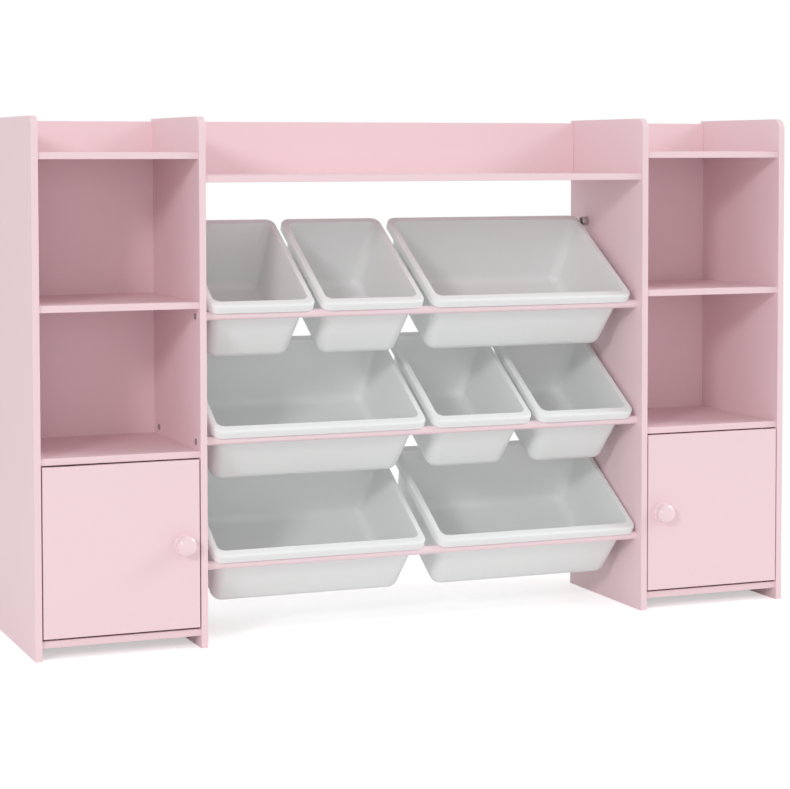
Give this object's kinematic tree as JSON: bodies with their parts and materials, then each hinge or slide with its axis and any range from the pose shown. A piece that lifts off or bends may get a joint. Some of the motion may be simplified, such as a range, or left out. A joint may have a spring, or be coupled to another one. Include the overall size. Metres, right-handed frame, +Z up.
{
  "type": "toy storage organizer with bins",
  "caption": "Low children's organizer: two side cabinets with open cubbies and a hinged door each, and a centre bay of tilted lift-off bins below a top shelf.",
  "frame": {"origin": "floor level, at the centre of the box round the whole object, door knobs included", "axes": "+X along the width, to the right as seen from the front; +Y from the front to the back; +Z up"},
  "size_m": [1.439, 0.324, 0.912],
  "materials": {
    "pink_board": "satin pink paint over fibreboard",
    "pink_rod": "satin pink powder coat",
    "bin_plastic": "white, fine moulded satin",
    "bright_steel": "bright plated steel",
    "zinc": "zinc plated",
    "beech": "bare fluted beech",
    "nylon": "black nylon"
  },
  "bodies": {
    "carcass": {"back_screws": "zinc", "bin_side_stop": "bright_steel", "board_dowels": "beech", "cam_bolts": "zinc", "cam_nuts": "zinc", "centre_back_board": "pink_board", "centre_top_shelf": "pink_board", "front_rod_bottom": "pink_rod", "front_rod_middle": "pink_rod", "front_rod_top": "pink_rod", "left_back_panel": "pink_board", "left_cabinet_bottom": "pink_board", "left_cabinet_top": "pink_board", "left_inner_panel": "pink_board", "left_magnet_catch": "nylon", "left_middle_shelf": "pink_board", "left_outer_panel": "pink_board", "left_pivot_bushes": "nylon", "left_top_shelf": "pink_board", "rear_rod_bottom": "pink_rod", "rear_rod_middle": "pink_rod", "rear_rod_top": "pink_rod", "right_back_panel": "pink_board", "right_cabinet_bottom": "pink_board", "right_cabinet_top": "pink_board", "right_inner_panel": "pink_board", "right_magnet_catch": "nylon", "right_middle_shelf": "pink_board", "right_outer_panel": "pink_board", "right_pivot_bushes": "nylon", "right_top_shelf": "pink_board", "rod_bolts": "zinc", "side_stop_screw": "zinc"},
    "left_door": {"left_door": "pink_board", "left_knob": "pink_board", "left_knob_screw": "zinc", "left_pivot_pins": "zinc", "left_strike_plate": "zinc"},
    "right_door": {"right_door": "pink_board", "right_knob": "pink_board", "right_knob_screw": "zinc", "right_pivot_pins": "zinc", "right_strike_plate": "zinc"},
    "bin_top_left": {"bin_top_left": "bin_plastic"},
    "bin_top_middle": {"bin_top_middle": "bin_plastic"},
    "bin_top_right": {"bin_top_right": "bin_plastic"},
    "bin_middle_left": {"bin_middle_left": "bin_plastic"},
    "bin_middle_middle": {"bin_middle_middle": "bin_plastic"},
    "bin_middle_right": {"bin_middle_right": "bin_plastic"},
    "bin_bottom_left": {"bin_bottom_left": "bin_plastic"},
    "bin_bottom_right": {"bin_bottom_right": "bin_plastic"}
  },
  "joints": [
    {"name": "left_door_hinge", "type": "hinge", "parent": "carcass", "child": "left_door", "pos_m": [-0.6802, -0.1268, 0.18085], "axis": [0, 0, -1], "range_deg": [0, 110]},
    {"name": "right_door_hinge", "type": "hinge", "parent": "carcass", "child": "right_door", "pos_m": [0.6802, -0.1268, 0.18085], "axis": [0, 0, 1], "range_deg": [0, 110]},
    {"name": "bin_top_left_lift", "type": "slide", "parent": "carcass", "child": "bin_top_left", "axis": [0, -0.515, 0.8572], "range_m": [0, 0.04]},
    {"name": "bin_top_middle_lift", "type": "slide", "parent": "carcass", "child": "bin_top_middle", "axis": [0, -0.515, 0.8572], "range_m": [0, 0.04]},
    {"name": "bin_top_right_lift", "type": "slide", "parent": "carcass", "child": "bin_top_right", "axis": [0, -0.515, 0.8572], "range_m": [0, 0.04]},
    {"name": "bin_middle_left_lift", "type": "slide", "parent": "carcass", "child": "bin_middle_left", "axis": [0, -0.515, 0.8572], "range_m": [0, 0.04]},
    {"name": "bin_middle_middle_lift", "type": "slide", "parent": "carcass", "child": "bin_middle_middle", "axis": [0, -0.515, 0.8572], "range_m": [0, 0.04]},
    {"name": "bin_middle_right_lift", "type": "slide", "parent": "carcass", "child": "bin_middle_right", "axis": [0, -0.515, 0.8572], "range_m": [0, 0.04]},
    {"name": "bin_bottom_left_lift", "type": "slide", "parent": "carcass", "child": "bin_bottom_left", "axis": [0, -0.515, 0.8572], "range_m": [0, 0.04]},
    {"name": "bin_bottom_right_lift", "type": "slide", "parent": "carcass", "child": "bin_bottom_right", "axis": [0, -0.515, 0.8572], "range_m": [0, 0.04]}
  ]
}
